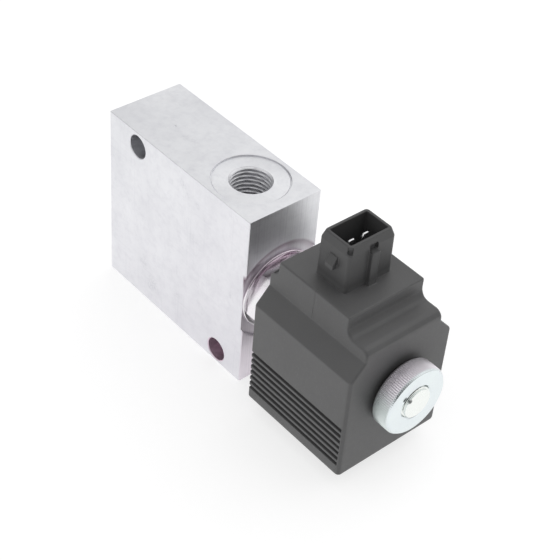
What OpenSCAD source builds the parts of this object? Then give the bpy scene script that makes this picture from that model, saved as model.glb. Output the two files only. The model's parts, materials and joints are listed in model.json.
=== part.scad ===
// Screw-in solenoid directional valve in a ported aluminium line block,
// with an encapsulated coil and a two-blade plug socket. Millimetres.
// The origin is the centre of the block's base face, +Z up,
// and the cartridge axis runs along +X at height axis_z.
// Front means towards +X, back towards -X.

/* [Valve block] */
// Length of the block along the cartridge axis
block_l = 63.5; // [60:0.5:68]
// Thickness of the block, across the mounting holes
block_w = 25.4; // [25.4:0.1:30]
// Height of the block
block_h = 58.7; // [58:0.1:64]
// Height of the cartridge axis above the base
axis_z = 29.35; // [29:0.05:30]
// Radius of the two mounting holes
mount_hole_r = 3.65; // [2.8:0.05:3.7]
// Distance from the front face to the lower mounting hole
low_hole_x = 10.98; // [10:0.01:12]
// Height of the lower mounting hole above the base
low_hole_z = 4.4; // [4.4:0.05:6]
// Distance from the front face to the upper mounting hole
high_hole_x = 49.93; // [48:0.01:52]
// Distance from the top face down to the upper mounting hole
high_hole_top = 4.8; // [4.4:0.05:6]

/* [Ports] */
// Distance from the front face to the side port on the top face
top_port_x = 14.9; // [14:0.05:15.4]
// Distance from the front face to the nose port on the base face
base_port_x = 46; // [44:0.1:46.5]
// Wall radius of each port thread (G 1/4 major radius)
port_r = 6.58; // [6:0.01:6.6]
// Depth of each port thread
port_depth = 13; // [11:0.5:14]
// Radius of the spotface around each port
port_face_r = 11.2; // [9:0.1:11.4]
// Depth of the spotface around each port
port_face_d = 0.4; // [0.2:0.1:0.8]

/* [Cartridge] */
// Radius of the spotface under the hexagon
spot_r = 15.8; // [14:0.1:17]
// Depth of that spotface
spot_d = 0.75; // [0.4:0.05:1]
// Radius of the cartridge thread (3/4-16)
thread_r = 9.525; // [9.4:0.005:9.55]
// Hexagon across flats
hex_af = 22.2; // [21:0.1:22.6]
// Radius of the cartridge cage
cage_r = 6.25; // [6:0.05:6.25]
// Radius of the spool land
spool_r = 3.5; // [3:0.05:3.5]
// Travel of the armature and spool
stroke = 2.4; // [1.5:0.1:2.4]

/* [Guide tube] */
// Outer radius of the guide tube
tube_r = 6.5; // [6.4:0.01:6.52]
// Radius of the threaded stud that holds the coil nut
stud_r = 4.95; // [4.5:0.01:4.98]

/* [Coil] */
// Gap from the block's front face to the back of the coil
coil_gap = 10.18; // [10.18:0.02:10.6]
// Length of the coil along the axis
coil_l = 38; // [38:0.1:39]
// Width of the coil
coil_w = 36.5; // [35:0.1:38]
// Bottom of the coil below the axis
coil_down = 24.4; // [24:0.1:26]
// Height of the flat sides above the axis
side_up = 10.95; // [10.5:0.05:12]
// Height of the sloping shoulders' upper edge above the axis
shoulder_up = 16; // [15.5:0.05:16.2]
// Top of the raised platform above the axis
platform_up = 25.5; // [25:0.1:27]
// Half width of the raised platform
platform_hw = 13.2; // [12.5:0.1:13.3]
// Number of cooling grooves on each side
groove_count = 7; // [3:1:7]
// Spacing of the cooling grooves
groove_pitch = 2.13; // [2:0.01:2.2]
// Depth of the cooling grooves
groove_depth = 1; // [0.5:0.1:1.2]

/* [Plug socket] */
// Height of the socket's rim above the platform
socket_up = 14.3; // [12:0.1:15]
// Inside length of the socket, across the valve
socket_w = 12.9; // [12.5:0.1:13.2]
// Inside width of the socket, along the valve
socket_l = 8; // [7.8:0.1:8.3]
// Wall of the socket
socket_wall = 1.6; // [1.3:0.1:1.7]
// Spacing of the two blades
blade_pitch = 5; // [4.6:0.1:5.4]
// Width of each blade
blade_w = 2.8; // [2.4:0.1:3]
// Thickness of each blade
blade_t = 0.8; // [0.6:0.1:1]

/* [Coil nut] */
// Radius of the knurled nut
nut_r = 10.55; // [9.8:0.05:12]
// Thickness of the knurled nut
nut_t = 5.95; // [5:0.05:6.5]

/* [Hidden] */
$fn = 96;
over = 1;                          // how far a cut runs past a face
rubber = [0.08, 0.08, 0.08];
copper = [0.72, 0.40, 0.20];

// Block and cartridge
front_x = block_l / 2;             // the block's cartridge face
floor_x = front_x - spot_d;        // floor of the cartridge spotface
top_x = front_x - top_port_x;      // axis of the top port
base_x = front_x - base_port_x;    // axis of the base port
cage_back = front_x - 1.35;        // end of the cage inside the adapter
cage_nose = front_x - 29.1;        // far end of the cage
seal_x = front_x - 24.35;          // middle of the nose seal groove
nose_groove_r = 4.75;              // floor of that groove
nose_groove_hw = 2.25;             // its half width
land_x = top_x - 2.5;              // nose edge of the spool land at rest

// Coil, nut and plug socket
coil_back = front_x + coil_gap;
coil_front = coil_back + coil_l;
hex_end = coil_back - 1.75;
half_w = coil_w / 2;
coil_bottom = axis_z - coil_down;
plat_back = coil_back + 3.02;      // back wall of the raised platform
plat_front = coil_front - 8.03;    // front wall of the raised platform
plat_z = axis_z + platform_up;
plug_x = coil_back + 16.92;        // centre of the plug socket
socket_floor_z = plat_z + 0.5;
rim_z = plat_z + socket_up;
blade_x = plug_x + 0.2;
blade_foot_z = axis_z + 20;
blade_tip_z = rim_z - 2.45;
nut_back = coil_front + 1.2;
nut_front = nut_back + nut_t;
coil_seal_r = 1.72 / 2;            // section radius of the coil's two seal rings
front_seal_r = 8;                  // middle radius of the front one

// Guide tube, pole piece and armature
bore_r = tube_r + 0.1;             // bore through the coil
tube_in = tube_r - 0.6;            // guide tube bore
tube_seat_x = front_x + 1.3;       // floor of the tube's seat in the adapter
tube_start = tube_seat_x + 0.05;
tube_end = coil_front - 0.9;
stud_end = coil_front + 7.72;
pole_x = coil_back + 20.07;        // working face of the pole piece
shim_t = 0.3;
arm_r = tube_in - 0.05;
arm_start = front_x + 6.25;
arm_end = pole_x - shim_t - stroke - 0.1;
stem_depth = 5.2;                  // reach of the spool stem into the armature
stem_end = arm_start + stem_depth;
pin_x = arm_start + stem_depth / 2;

// Coil internals: insets are measured inwards from each end of the coil
frame_hw = 14.5;                   // half width of the flux frame
frame_down = 21.5;                 // its bottom below the axis
frame_h = 31.5;
frame_base_t = 3.1;
frame_end_t = 3.17;
frame_inset = 1.43;
frame_fit = 0.03;                  // clearance of the frame in its pocket
frame_inner = frame_inset + frame_end_t;
bobbin_r = 15.6;                   // flange radius
bobbin_tube_r = 7.6;
bobbin_inset = frame_inner + 0.04;
flange_inset = bobbin_inset + 1.2; // inner faces of the flanges
winding_inset = flange_inset + 0.04;
winding_r = 15;

// Return spring, seated in pockets in the armature and the pole piece
spring_pocket_r = 2.6;
arm_pocket = 9;
pole_pocket = 4;
wire_r = 0.35;
coil_mean_r = 2.0;
spring_turns = 9;
spring_seat = wire_r + 0.05;       // wire centre to pocket floor
spring_back = arm_end - arm_pocket + spring_seat;
spring_front = pole_x + pole_pocket - spring_seat;
closed_lead = 2 * wire_r + 0.02;   // lead of the first and last turns

// ---- Helpers ----

// Points of an arc about [x, y], between two angles
function arc(x, y, radius, from, to, steps) =
    [for (i = [0 : steps]) let (angle = from + (to - from) * i / steps)
        [x + radius * cos(angle), y + radius * sin(angle)]];
// Outline of a rectangle x0..x1 by y0..y1 with rounded corners
function round_rect(x0, x1, y0, y1, radius, steps) = concat(
    arc(x1 - radius, y1 - radius, radius, 0, 90, steps),
    arc(x0 + radius, y1 - radius, radius, 90, 180, steps),
    arc(x0 + radius, y0 + radius, radius, 180, 270, steps),
    arc(x1 - radius, y0 + radius, radius, 270, 360, steps));

// Puts a shape built along +Z onto the cartridge axis, so that +Z becomes +X
module on_axis() translate([0, 0, axis_z]) rotate([0, 90, 0]) children();
// Solid of revolution on the cartridge axis from [radius, x] points
module turned(points) on_axis() rotate_extrude() polygon(points);
// Straight tube on the cartridge axis
module ring(inner_r, outer_r, x0, x1)
    turned([[inner_r, x0], [outer_r, x0], [outer_r, x1], [inner_r, x1]]);
// Round-section seal ring on the cartridge axis
module seal(mean_r, section_r, x)
    on_axis() translate([0, 0, x]) rotate_extrude()
        translate([mean_r, 0]) circle(section_r, $fn = 32);
// Plain cylinder on the cartridge axis
module bar(radius, x0, x1) on_axis() translate([0, 0, x0]) cylinder(r = radius, h = x1 - x0);
// Cylinder along Y, centred on the valve
module cross(radius, x, z, length)
    translate([x, 0, z]) rotate([90, 0, 0]) cylinder(r = radius, h = length, center = true);
// Repeats a shape at each blade's place
module at_blades()
    for (side = [-1, 1]) translate([blade_x, side * blade_pitch / 2, 0]) children();

// ---- Block ----

// Port cut downwards from z = 0: spotface, entry chamfer, thread wall, drill
module port_cut(drill_r, drill_end) {
    chamfer = 0.6;
    floor_r = 5.7;     // where the thread's floor starts to slope to the drill
    floor_slope = 0.6;
    rotate_extrude() polygon([
        [0, over], [port_face_r, over], [port_face_r, -port_face_d],
        [port_r + chamfer, -port_face_d], [port_r, -port_face_d - chamfer],
        [port_r, -port_depth], [floor_r, -port_depth],
        [drill_r, -port_depth - (floor_r - drill_r) * floor_slope],
        [drill_r, -drill_end], [0, -drill_end]]);
}

// Spotface, seal seat, thread, side chamber, nose bore and nose drill
module cartridge_cavity() {
    seat_r = 10.2;
    wall_r = thread_r + 0.075;
    chamber_r = 7.94;
    nose_r = 6.35;
    drill_r = 4.25;
    turned([
        [0, front_x + over], [spot_r, front_x + over], [spot_r, floor_x],
        [seat_r, floor_x], [seat_r, front_x - 3.15],
        [wall_r, front_x - 3.9], [wall_r, front_x - 11.1],
        [chamber_r, front_x - 11.1], [chamber_r, front_x - 20],
        [nose_r, front_x - 21.5], [nose_r, front_x - 29.5],
        [drill_r, front_x - 30.7], [drill_r, base_x - 4.25], [0, base_x - 6.8]]);
}

module valve_block() color([0.86, 0.87, 0.89]) difference() {
    translate([-block_l / 2, -block_w / 2, 0]) cube([block_l, block_w, block_h]);
    cross(mount_hole_r, front_x - high_hole_x, block_h - high_hole_top, block_w + 2 * over);
    cross(mount_hole_r, front_x - low_hole_x, low_hole_z, block_w + 2 * over);
    // the top drill stops 5 above the axis, the base drill 1.5 below it
    translate([top_x, 0, block_h]) port_cut(drill_r = 3.5, drill_end = block_h - axis_z - 5);
    translate([base_x, 0, 0]) mirror([0, 0, 1]) port_cut(drill_r = 3.9, drill_end = axis_z - 1.5);
    cartridge_cavity();
}

// ---- Cartridge ----

module adapter_body() color([0.80, 0.82, 0.84]) {
    neck_r = 8.4;            // under the head seal ring
    collar_r = 12.75;
    hex_corner_r = 13.2;     // the hexagon's corners are turned down to this
    hex_face_r = 11.2;       // end faces inside the hexagon's chamfers
    cage_bore_r = cage_r + 0.05;
    cage_seat_x = cage_back + 0.1;
    through_r = 4.6;
    tube_bore_r = tube_r + 0.02;
    difference() {
        union() {
            // thread, neck and collar
            turned([[0, front_x - 10.9], [thread_r - 0.6, front_x - 10.9],
                    [thread_r, front_x - 10.3], [thread_r, front_x - 4],
                    [neck_r, front_x - 3.3], [neck_r, floor_x],
                    [collar_r, floor_x], [collar_r, floor_x + 0.75],
                    [collar_r - 0.45, floor_x + 1.1], [0, floor_x + 1.1]]);
            intersection() {
                on_axis() translate([0, 0, floor_x + 1]) rotate([0, 0, 38])
                    cylinder(r = hex_af / 2 / cos(30), h = hex_end - floor_x - 1, $fn = 6);
                turned([[0, floor_x], [hex_face_r, floor_x + 1], [hex_corner_r, floor_x + 2.1],
                        [hex_corner_r, hex_end - 1.2], [hex_face_r, hex_end], [0, hex_end]]);
            }
        }
        // cage bore, through bore and guide tube seat
        turned([[0, front_x - 12], [cage_bore_r, front_x - 12], [cage_bore_r, cage_seat_x],
                [through_r, cage_seat_x], [through_r, tube_seat_x],
                [tube_bore_r, tube_seat_x], [tube_bore_r, hex_end + over], [0, hex_end + over]]);
    }
}

module head_seal_ring() color(rubber)
    seal(mean_r = 9.3, section_r = 0.87, x = front_x - 1.85);

module cage() color([0.62, 0.63, 0.66]) difference() {
    bore = spool_r + 0.03;
    chamfer = 0.6;
    groove_x0 = seal_x - nose_groove_hw;
    groove_x1 = seal_x + nose_groove_hw;
    turned([[bore, cage_nose], [cage_r - chamfer, cage_nose], [cage_r, cage_nose + chamfer],
            [cage_r, groove_x0], [nose_groove_r, groove_x0], [nose_groove_r, groove_x1],
            [cage_r, groove_x1], [cage_r, cage_back], [bore, cage_back]]);
    // four flow holes to the side port
    for (turn = [0, 90]) translate([top_x, 0, axis_z]) rotate([turn, 0, 0])
        cylinder(r = 2, h = 16, center = true);
}

module nose_seal_ring() color(rubber) seal(mean_r = 5.55, section_r = 0.77, x = seal_x);

// One ring on each side of the nose seal
module nose_backup_rings() color([0.92, 0.90, 0.84])
    for (x = [seal_x - 2.1, seal_x + 0.85]) ring(nose_groove_r + 0.03, 6.32, x, x + 1.25);

module spool() color([0.70, 0.71, 0.73]) difference() {
    stem_r = 2.2;
    chamfer = 0.2;
    ring_groove_d = 0.25;
    ring_groove_w = 0.4;
    // land with three ring grooves, then the stem
    turned([[0, land_x], [spool_r - chamfer, land_x], [spool_r, land_x + chamfer],
            for (i = [0 : 2]) let (x = land_x + 5.4 + 1.2 * i) each [
                [spool_r, x], [spool_r - ring_groove_d, x],
                [spool_r - ring_groove_d, x + ring_groove_w], [spool_r, x + ring_groove_w]],
            [spool_r, land_x + 9.6], [stem_r, land_x + 10], [stem_r, stem_end], [0, stem_end]]);
    // balance bore and its vent into the armature chamber
    bar(1.2, land_x - over, land_x + 14);
    cross(0.8, land_x + 13, axis_z, 8);
    // coupling pin hole
    cross(0.82, pin_x, axis_z, 8);
}

// ---- Armature and spring ----

module coupling_pin() color([0.75, 0.75, 0.76]) cross(0.78, pin_x, axis_z, 2 * arm_r - 0.6);

module armature() color([0.58, 0.59, 0.62]) difference() {
    chamfer = 0.5;
    channel = 1.2;
    turned([[0, arm_start], [arm_r - chamfer, arm_start], [arm_r, arm_start + chamfer],
            [arm_r, arm_end - chamfer], [arm_r - chamfer, arm_end], [0, arm_end]]);
    // stem socket, spring pocket and pin hole
    bar(2.3, arm_start - over, stem_end + 0.4);
    bar(spring_pocket_r, arm_end - arm_pocket, arm_end + over);
    cross(0.8, pin_x, axis_z, 14);
    // oil channels along the top and bottom
    for (side = [-1, 1])
        translate([arm_start - over, -channel / 2, axis_z + side * arm_r - channel / 2])
            cube([arm_end - arm_start + 2 * over, channel, channel]);
}

// Wire centre along the axis after some turns: the first and last are close-wound
function spring_x(turns) =
    turns <= 1 ? spring_back + closed_lead * turns
    : turns >= spring_turns - 1 ? spring_front - closed_lead * (spring_turns - turns)
    : spring_back + closed_lead
        + (spring_front - spring_back - 2 * closed_lead) * (turns - 1) / (spring_turns - 2);

// Six-sided wire swept along that helix
module return_spring() color([0.72, 0.73, 0.75]) {
    steps = 20;        // per turn
    sides = 6;
    last = spring_turns * steps;
    points = [for (i = [0 : last]) let (turns = i / steps, angle = 360 * turns)
        for (j = [0 : sides - 1])
            let (around = 360 * j / sides, radius = coil_mean_r + wire_r * cos(around))
            [radius * cos(angle), radius * sin(angle), spring_x(turns) + wire_r * sin(around)]];
    faces = concat(
        [[for (j = [0 : sides - 1]) j]],
        [for (i = [0 : last - 1]) for (j = [0 : sides - 1])
            let (here = i * sides, ahead = here + sides, next = (j + 1) % sides)
            [here + j, ahead + j, ahead + next, here + next]],
        [[for (j = [sides - 1 : -1 : 0]) last * sides + j]]);
    on_axis() polyhedron(points = points, faces = faces, convexity = 10);
}

module residual_shim() color([0.80, 0.66, 0.32])
    ring(2.8, tube_in - 0.15, pole_x - shim_t, pole_x - 0.01);

// ---- Guide tube and pole piece ----

module guide_tube() color([0.78, 0.79, 0.80]) turned([
    [tube_in, tube_start], [tube_r, tube_start], [tube_r, tube_end - 0.5],
    [tube_r - 0.3, tube_end], [tube_in, tube_end]]);

module pole_piece() color([0.80, 0.81, 0.82]) difference() {
    pole_r = tube_in - 0.02;
    neck_r = stud_r - 0.6;
    tip_r = stud_r - 0.45;
    turned([[0, pole_x], [pole_r, pole_x], [pole_r, tube_end + 0.4], [neck_r, tube_end + 0.4],
            [neck_r, coil_front + 0.3], [stud_r, coil_front + 0.9], [stud_r, stud_end - 0.8],
            [tip_r, stud_end - 0.35], [tip_r, stud_end], [0, stud_end]]);
    bar(spring_pocket_r, pole_x - over, pole_x + pole_pocket);
}

module coil_rear_seal() color(rubber) seal(8.6, coil_seal_r, (hex_end + coil_back) / 2);
module coil_front_seal() color(rubber) seal(front_seal_r, coil_seal_r, coil_front + 0.88);

// ---- Moulded coil ----

// Side profile [x, z], with stepped shoulders fore and aft of the platform
coil_side = concat(
    arc(coil_front - 1.8, coil_bottom + 1.8, 1.8, -90, 0, 6),
    arc(coil_front - 2.8, axis_z + 17, 2.8, 0, 90, 8),
    arc(plat_front + 2.6, plat_z - 3.1, 2.6, 270, 180, 8),
    arc(plat_front - 0.4, plat_z - 0.4, 0.4, 0, 90, 3),
    arc(plat_back + 0.4, plat_z - 0.4, 0.4, 90, 180, 3),
    arc(plat_back - 2.28, plat_z - 2.6, 2.28, 0, -70, 6),
    arc(plat_back - 0.7, plat_z - 6.75, 2.28, 110, 180, 6),
    arc(coil_back + 1.2, coil_bottom + 1.2, 1.2, 180, 270, 4));
// Cross section [y, z]: flat sides, sloping shoulders, platform walls
platform_foot_hw = platform_hw + 0.38;
coil_end = concat(
    arc(half_w - 1.6, coil_bottom + 1.6, 1.6, -90, 0, 5),
    [[half_w, axis_z + side_up], [platform_foot_hw, axis_z + shoulder_up],
     [platform_hw, plat_z], [-platform_hw, plat_z],
     [-platform_foot_hw, axis_z + shoulder_up], [-half_w, axis_z + side_up]],
    arc(-half_w + 1.6, coil_bottom + 1.6, 1.6, 180, 270, 5));

// The side, end and plan outlines intersected
module coil_body() intersection() {
    rotate([90, 0, 0]) linear_extrude(coil_w + 2 * over, center = true) polygon(coil_side);
    rotate([90, 0, 90]) translate([0, 0, coil_back - over])
        linear_extrude(coil_l + 2 * over) polygon(coil_end);
    translate([0, 0, coil_bottom - over]) linear_extrude(coil_down + platform_up + 3)
        polygon(round_rect(coil_back, coil_front, -half_w, half_w, 1.2, 6));
}

// Thin slab to hull the socket wall from: the cavity's outline grown by a margin
slab_t = 0.01;
module socket_slab(margin, z) translate([0, 0, z]) linear_extrude(slab_t)
    polygon(round_rect(plug_x - socket_l / 2 - margin, plug_x + socket_l / 2 + margin,
                       -socket_w / 2 - margin, socket_w / 2 + margin, 1.2, 4));

// Outside of the plug socket
module socket_wall_solid() {
    taper_z = rim_z - 2.3;     // the wall thins above this
    root_z = plat_z - 0.5;     // sunk into the platform
    hull() {
        socket_slab(socket_wall + 0.1, root_z);
        socket_slab(socket_wall, taper_z);
    }
    hull() {
        socket_slab(socket_wall, taper_z - slab_t);
        socket_slab(0.9, rim_z - slab_t);
    }
    // latch ramp at each end of the socket, drawn as [outwards is -y, z]
    for (side = [0, 1]) mirror([0, side, 0])
        translate([plug_x - 1.9, -socket_w / 2 - socket_wall, 0]) rotate([90, 0, 90])
            linear_extrude(3.1) polygon([
                [0.6, rim_z - 7.25], [-1.26, rim_z - 7.25], [-1.26, rim_z - 6.2],
                [-0.1, rim_z - 4.5], [0.6, rim_z - 4.5]]);
    // keying rib on the front of the socket
    translate([plug_x + socket_l / 2 + 0.4, -1.16, root_z])
        cube([socket_wall + 0.93, 2.76, socket_up - 2.1]);
}

// Open at the back and stopping short of the front corner
module cooling_grooves() {
    groove_w = 1.1;
    first_down = 6.5;
    for (i = [0 : groove_count - 1]) for (side = [-1, 1])
        translate([coil_back - over, side * half_w - groove_depth,
                   axis_z - first_down - i * groove_pitch - groove_w / 2])
            cube([coil_l - 0.05, 2 * groove_depth, groove_w]);
}

// U of the flux frame, a base and two end plates, grown all round by a margin
module frame_solid(margin) {
    width = 2 * (frame_hw + margin);
    y = -frame_hw - margin;
    z = axis_z - frame_down - margin;
    translate([coil_back + frame_inset - margin, y, z])
        cube([coil_l - 2 * (frame_inset - margin), width, frame_base_t + 2 * margin]);
    for (x = [coil_back + frame_inset, coil_front - frame_inner])
        translate([x - margin, y, z])
            cube([frame_end_t + 2 * margin, width, frame_h + 2 * margin]);
}

module coil_housing() color([0.25, 0.25, 0.26]) difference() {
    blade_fit = 0.02;
    union() {
        coil_body();
        socket_wall_solid();
    }
    // plug cavity
    translate([plug_x - socket_l / 2, -socket_w / 2, socket_floor_z])
        cube([socket_l, socket_w, socket_up + 2]);
    // bore and the space moulded round the winding and the frame
    bar(bore_r, coil_back - over, coil_front + over);
    bar(bobbin_r + 0.05, coil_back + frame_inner, coil_front - frame_inner);
    frame_solid(frame_fit);
    // slots for the blades and channels for their wires
    at_blades() {
        translate([-blade_t / 2 - blade_fit, -blade_w / 2 - blade_fit, blade_foot_z - blade_fit])
            cube([blade_t + 2 * blade_fit, blade_w + 2 * blade_fit, 12]);
        translate([0, 0, axis_z + 13]) cylinder(r = 0.42, h = 7.5, $fn = 24);
    }
    cooling_grooves();
}

module flux_frame() color([0.55, 0.56, 0.58]) difference() {
    union() frame_solid(0);
    bar(bore_r + 0.05, coil_back - over, coil_front + over);
}

module bobbin() color([0.88, 0.87, 0.82]) {
    bore = bore_r + 0.05;
    turned([[bore, coil_back + bobbin_inset], [bobbin_r, coil_back + bobbin_inset],
            [bobbin_r, coil_back + flange_inset], [bobbin_tube_r, coil_back + flange_inset],
            [bobbin_tube_r, coil_front - flange_inset], [bobbin_r, coil_front - flange_inset],
            [bobbin_r, coil_front - bobbin_inset], [bore, coil_front - bobbin_inset]]);
}

// Ring filling the length between the bobbin's flanges
module wound(inner_r, outer_r)
    ring(inner_r, outer_r, coil_back + winding_inset, coil_front - winding_inset);

module winding() color(copper) wound(bobbin_tube_r + 0.03, winding_r);

module winding_tape() color([0.85, 0.72, 0.25]) wound(winding_r + 0.03, winding_r + 0.3);

module lead_wires() color(copper) at_blades()
    translate([0, 0, axis_z + 15.72]) cylinder(r = 0.38, h = 4.2, $fn = 24);

module terminal_blades() color([0.85, 0.85, 0.86]) {
    tip_h = 0.8;
    tip_taper = 0.5;
    tip_foot_z = blade_tip_z - tip_h - 0.01;   // overlaps the blade slightly
    at_blades() {
        translate([-blade_t / 2, -blade_w / 2, blade_foot_z])
            cube([blade_t, blade_w, blade_tip_z - tip_h - blade_foot_z]);
        // tip of half the thickness, narrowing upwards
        rotate([90, 0, 90]) translate([0, 0, -blade_t / 4]) linear_extrude(blade_t / 2)
            polygon([[-blade_w / 2, tip_foot_z], [blade_w / 2, tip_foot_z],
                     [blade_w / 2 - tip_taper, blade_tip_z],
                     [-blade_w / 2 + tip_taper, blade_tip_z]]);
    }
}

// Plain-rimmed nut with a groove in its back face for the front seal
module coil_nut() color([0.86, 0.89, 0.91]) {
    bore = stud_r + 0.08;
    groove_in = front_seal_r - 1;
    groove_out = front_seal_r + 1;
    groove_x = nut_back + 0.6;
    turned([[bore, nut_back], [groove_in, nut_back], [groove_in, groove_x],
            [groove_out, groove_x], [groove_out, nut_back],
            [nut_r - 0.4, nut_back], [nut_r, nut_back + 0.4],
            [nut_r, nut_front - 0.6], [nut_r - 0.6, nut_front],
            [stud_r + 0.55, nut_front], [bore, nut_front - 0.5]]);
}

valve_block();
adapter_body();
head_seal_ring();
cage();
nose_seal_ring();
nose_backup_rings();
spool();
coupling_pin();
armature();
return_spring();
residual_shim();
guide_tube();
pole_piece();
coil_rear_seal();
coil_front_seal();
coil_housing();
flux_frame();
bobbin();
winding();
winding_tape();
lead_wires();
terminal_blades();
coil_nut();
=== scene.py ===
# Solenoid directional valve screwed into a ported line block: visual model on its CAD frame.
# The cartridge axis runs along X at height AXIS_Z, with the block at the -X end and the coil and
# its knurled nut at the +X end. The block stands on Z = 0; the plug socket points up.
# Lengths are millimetres, and meshes are written in metres. Object coordinates in the shaders,
# bump distances and ring pitches are metres, and noise scales are per metre.
import bpy
import bmesh
import json
import math
import numpy as np
from mathutils import Matrix, Vector


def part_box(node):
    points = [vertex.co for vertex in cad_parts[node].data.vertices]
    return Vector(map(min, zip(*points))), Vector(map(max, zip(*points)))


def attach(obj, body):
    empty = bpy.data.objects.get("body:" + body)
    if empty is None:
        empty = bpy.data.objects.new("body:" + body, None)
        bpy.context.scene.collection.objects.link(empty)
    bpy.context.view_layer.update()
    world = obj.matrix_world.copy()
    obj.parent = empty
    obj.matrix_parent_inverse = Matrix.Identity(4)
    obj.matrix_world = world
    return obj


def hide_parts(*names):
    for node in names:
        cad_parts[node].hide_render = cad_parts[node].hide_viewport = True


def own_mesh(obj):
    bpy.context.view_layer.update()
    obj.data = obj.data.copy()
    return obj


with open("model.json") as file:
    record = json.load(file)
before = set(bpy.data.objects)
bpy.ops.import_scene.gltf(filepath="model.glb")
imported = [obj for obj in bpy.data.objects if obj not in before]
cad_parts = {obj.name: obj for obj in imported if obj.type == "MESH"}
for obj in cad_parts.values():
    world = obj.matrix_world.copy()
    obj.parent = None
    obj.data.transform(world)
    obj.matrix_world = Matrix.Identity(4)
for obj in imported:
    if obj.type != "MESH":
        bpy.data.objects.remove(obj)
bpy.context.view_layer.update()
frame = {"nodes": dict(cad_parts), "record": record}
MM = 0.001
scene = bpy.context.scene


# ------------------------------------------------------------------ positions from the CAD nodes
def node_box(name):
    low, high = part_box(name)
    return (np.array(low) / MM).tolist(), (np.array(high) / MM).tolist()


MOUNTS = {mount["name"]: mount for mount in frame["record"]["mounts"]}


def mount_at(name):
    return (np.array(MOUNTS[name]["pos_m"]) / MM).tolist()


block_lo, block_hi = node_box("valve_block")
coil_lo, coil_hi = node_box("coil_housing")
nut_lo, nut_hi = node_box("coil_nut")
blade_lo, blade_hi = node_box("terminal_blades")
AXIS_Z = (nut_lo[2] + nut_hi[2]) / 2      # height of the cartridge axis
FACE_X = block_hi[0]                      # cartridge face of the block
BACK_X, FRONT_X = coil_lo[0], coil_hi[0]  # coil housing: back faces the block, front the nut
HALF_WIDTH = coil_hi[1]
AXIS_POINT = (0, 0, AXIS_Z)


# ------------------------------------------------------------------ mesh objects
def new_object(name, verts, faces, smooth=True, normals=None):
    mesh = bpy.data.meshes.new(name)
    mesh.from_pydata([tuple(v) for v in np.asarray(verts, float) * MM], [],
                     [tuple(int(i) for i in face) for face in faces])
    mesh.validate()
    obj = bpy.data.objects.new(name, mesh)
    scene.collection.objects.link(obj)
    if smooth:
        mesh.shade_smooth()
    else:
        mesh.shade_flat()
    if normals is not None:
        mesh.normals_split_custom_set_from_vertices([tuple(n) for n in normals])
    return obj


def clean(obj):
    """Merge doubled points and turn the faces outward."""
    work = bmesh.new()
    work.from_mesh(obj.data)
    bmesh.ops.remove_doubles(work, verts=work.verts, dist=1e-7)
    bmesh.ops.recalc_face_normals(work, faces=work.faces)
    work.to_mesh(obj.data)
    work.free()
    return obj


def apply_modifiers(obj):
    bpy.context.view_layer.update()
    graph = bpy.context.evaluated_depsgraph_get()
    mesh = bpy.data.meshes.new_from_object(obj.evaluated_get(graph))
    old = obj.data
    obj.modifiers.clear()
    obj.data = mesh
    bpy.data.meshes.remove(old)


def boolean(obj, tools, operation="DIFFERENCE"):
    """Apply each tool object in turn and remove it."""
    for tool in tools:
        modifier = obj.modifiers.new("boolean", "BOOLEAN")
        modifier.operation = operation
        modifier.solver = "EXACT"
        modifier.object = tool
        apply_modifiers(obj)
        bpy.data.objects.remove(tool, do_unlink=True)


def bevel(obj, width, angle):
    """Round the edges sharper than the angle, in degrees."""
    modifier = obj.modifiers.new("bevel", "BEVEL")
    modifier.width = width * MM
    modifier.segments = 2
    modifier.limit_method = "ANGLE"
    modifier.angle_limit = math.radians(angle)
    modifier.use_clamp_overlap = True
    apply_modifiers(obj)


def crisp(obj, angle):
    """Smooth shading, with edges sharper than the angle in degrees kept sharp."""
    obj.data.shade_smooth()
    work = bmesh.new()
    work.from_mesh(obj.data)
    limit = math.radians(angle)
    for edge in work.edges:
        edge.smooth = len(edge.link_faces) == 2 and edge.calc_face_angle(0.0) < limit
    work.to_mesh(obj.data)
    work.free()


def paint(obj, mat):
    obj.data.materials.clear()
    obj.data.materials.append(mat.data)


def install(obj, mat, body, node):
    """Paint a part, fix it to a moving body and let it stand in for a CAD node."""
    paint(obj, mat)
    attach(obj, body)
    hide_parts(node)


# ------------------------------------------------------------------ outlines
def arc(cx, cy, radius, start, end, segments):
    """Points on an arc; angles are in degrees."""
    angles = [math.radians(start + (end - start) * i / segments) for i in range(segments + 1)]
    return [(cx + radius * math.cos(a), cy + radius * math.sin(a)) for a in angles]


def rounded_polygon(corners, segments):
    """Closed outline from (x, y, radius) corners, each replaced by a tangent arc."""
    points = []
    for i in range(len(corners)):
        corner = np.array(corners[i][:2], float)
        radius = corners[i][2]
        before = np.array(corners[i - 1][:2], float) - corner
        after = np.array(corners[(i + 1) % len(corners)][:2], float) - corner
        length_before, length_after = np.linalg.norm(before), np.linalg.norm(after)
        before, after = before / length_before, after / length_after
        opening = math.acos(max(-1, min(1, float(before @ after))))
        if radius <= 0 or opening > math.pi - 1e-3:
            points.append(tuple(corner))
            continue
        setback = min(radius / math.tan(opening / 2), 0.49 * length_before, 0.49 * length_after)
        fitted = setback * math.tan(opening / 2)
        bisector = (before + after) / np.linalg.norm(before + after)
        centre = corner + bisector * fitted / math.sin(opening / 2)
        first, last = corner + before * setback - centre, corner + after * setback - centre
        start, end = math.atan2(first[1], first[0]), math.atan2(last[1], last[0])
        sweep = (end - start + math.pi) % (2 * math.pi) - math.pi
        for k in range(segments + 1):
            angle = start + sweep * k / segments
            points.append((centre[0] + fitted * math.cos(angle),
                           centre[1] + fitted * math.sin(angle)))
    return points


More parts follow.
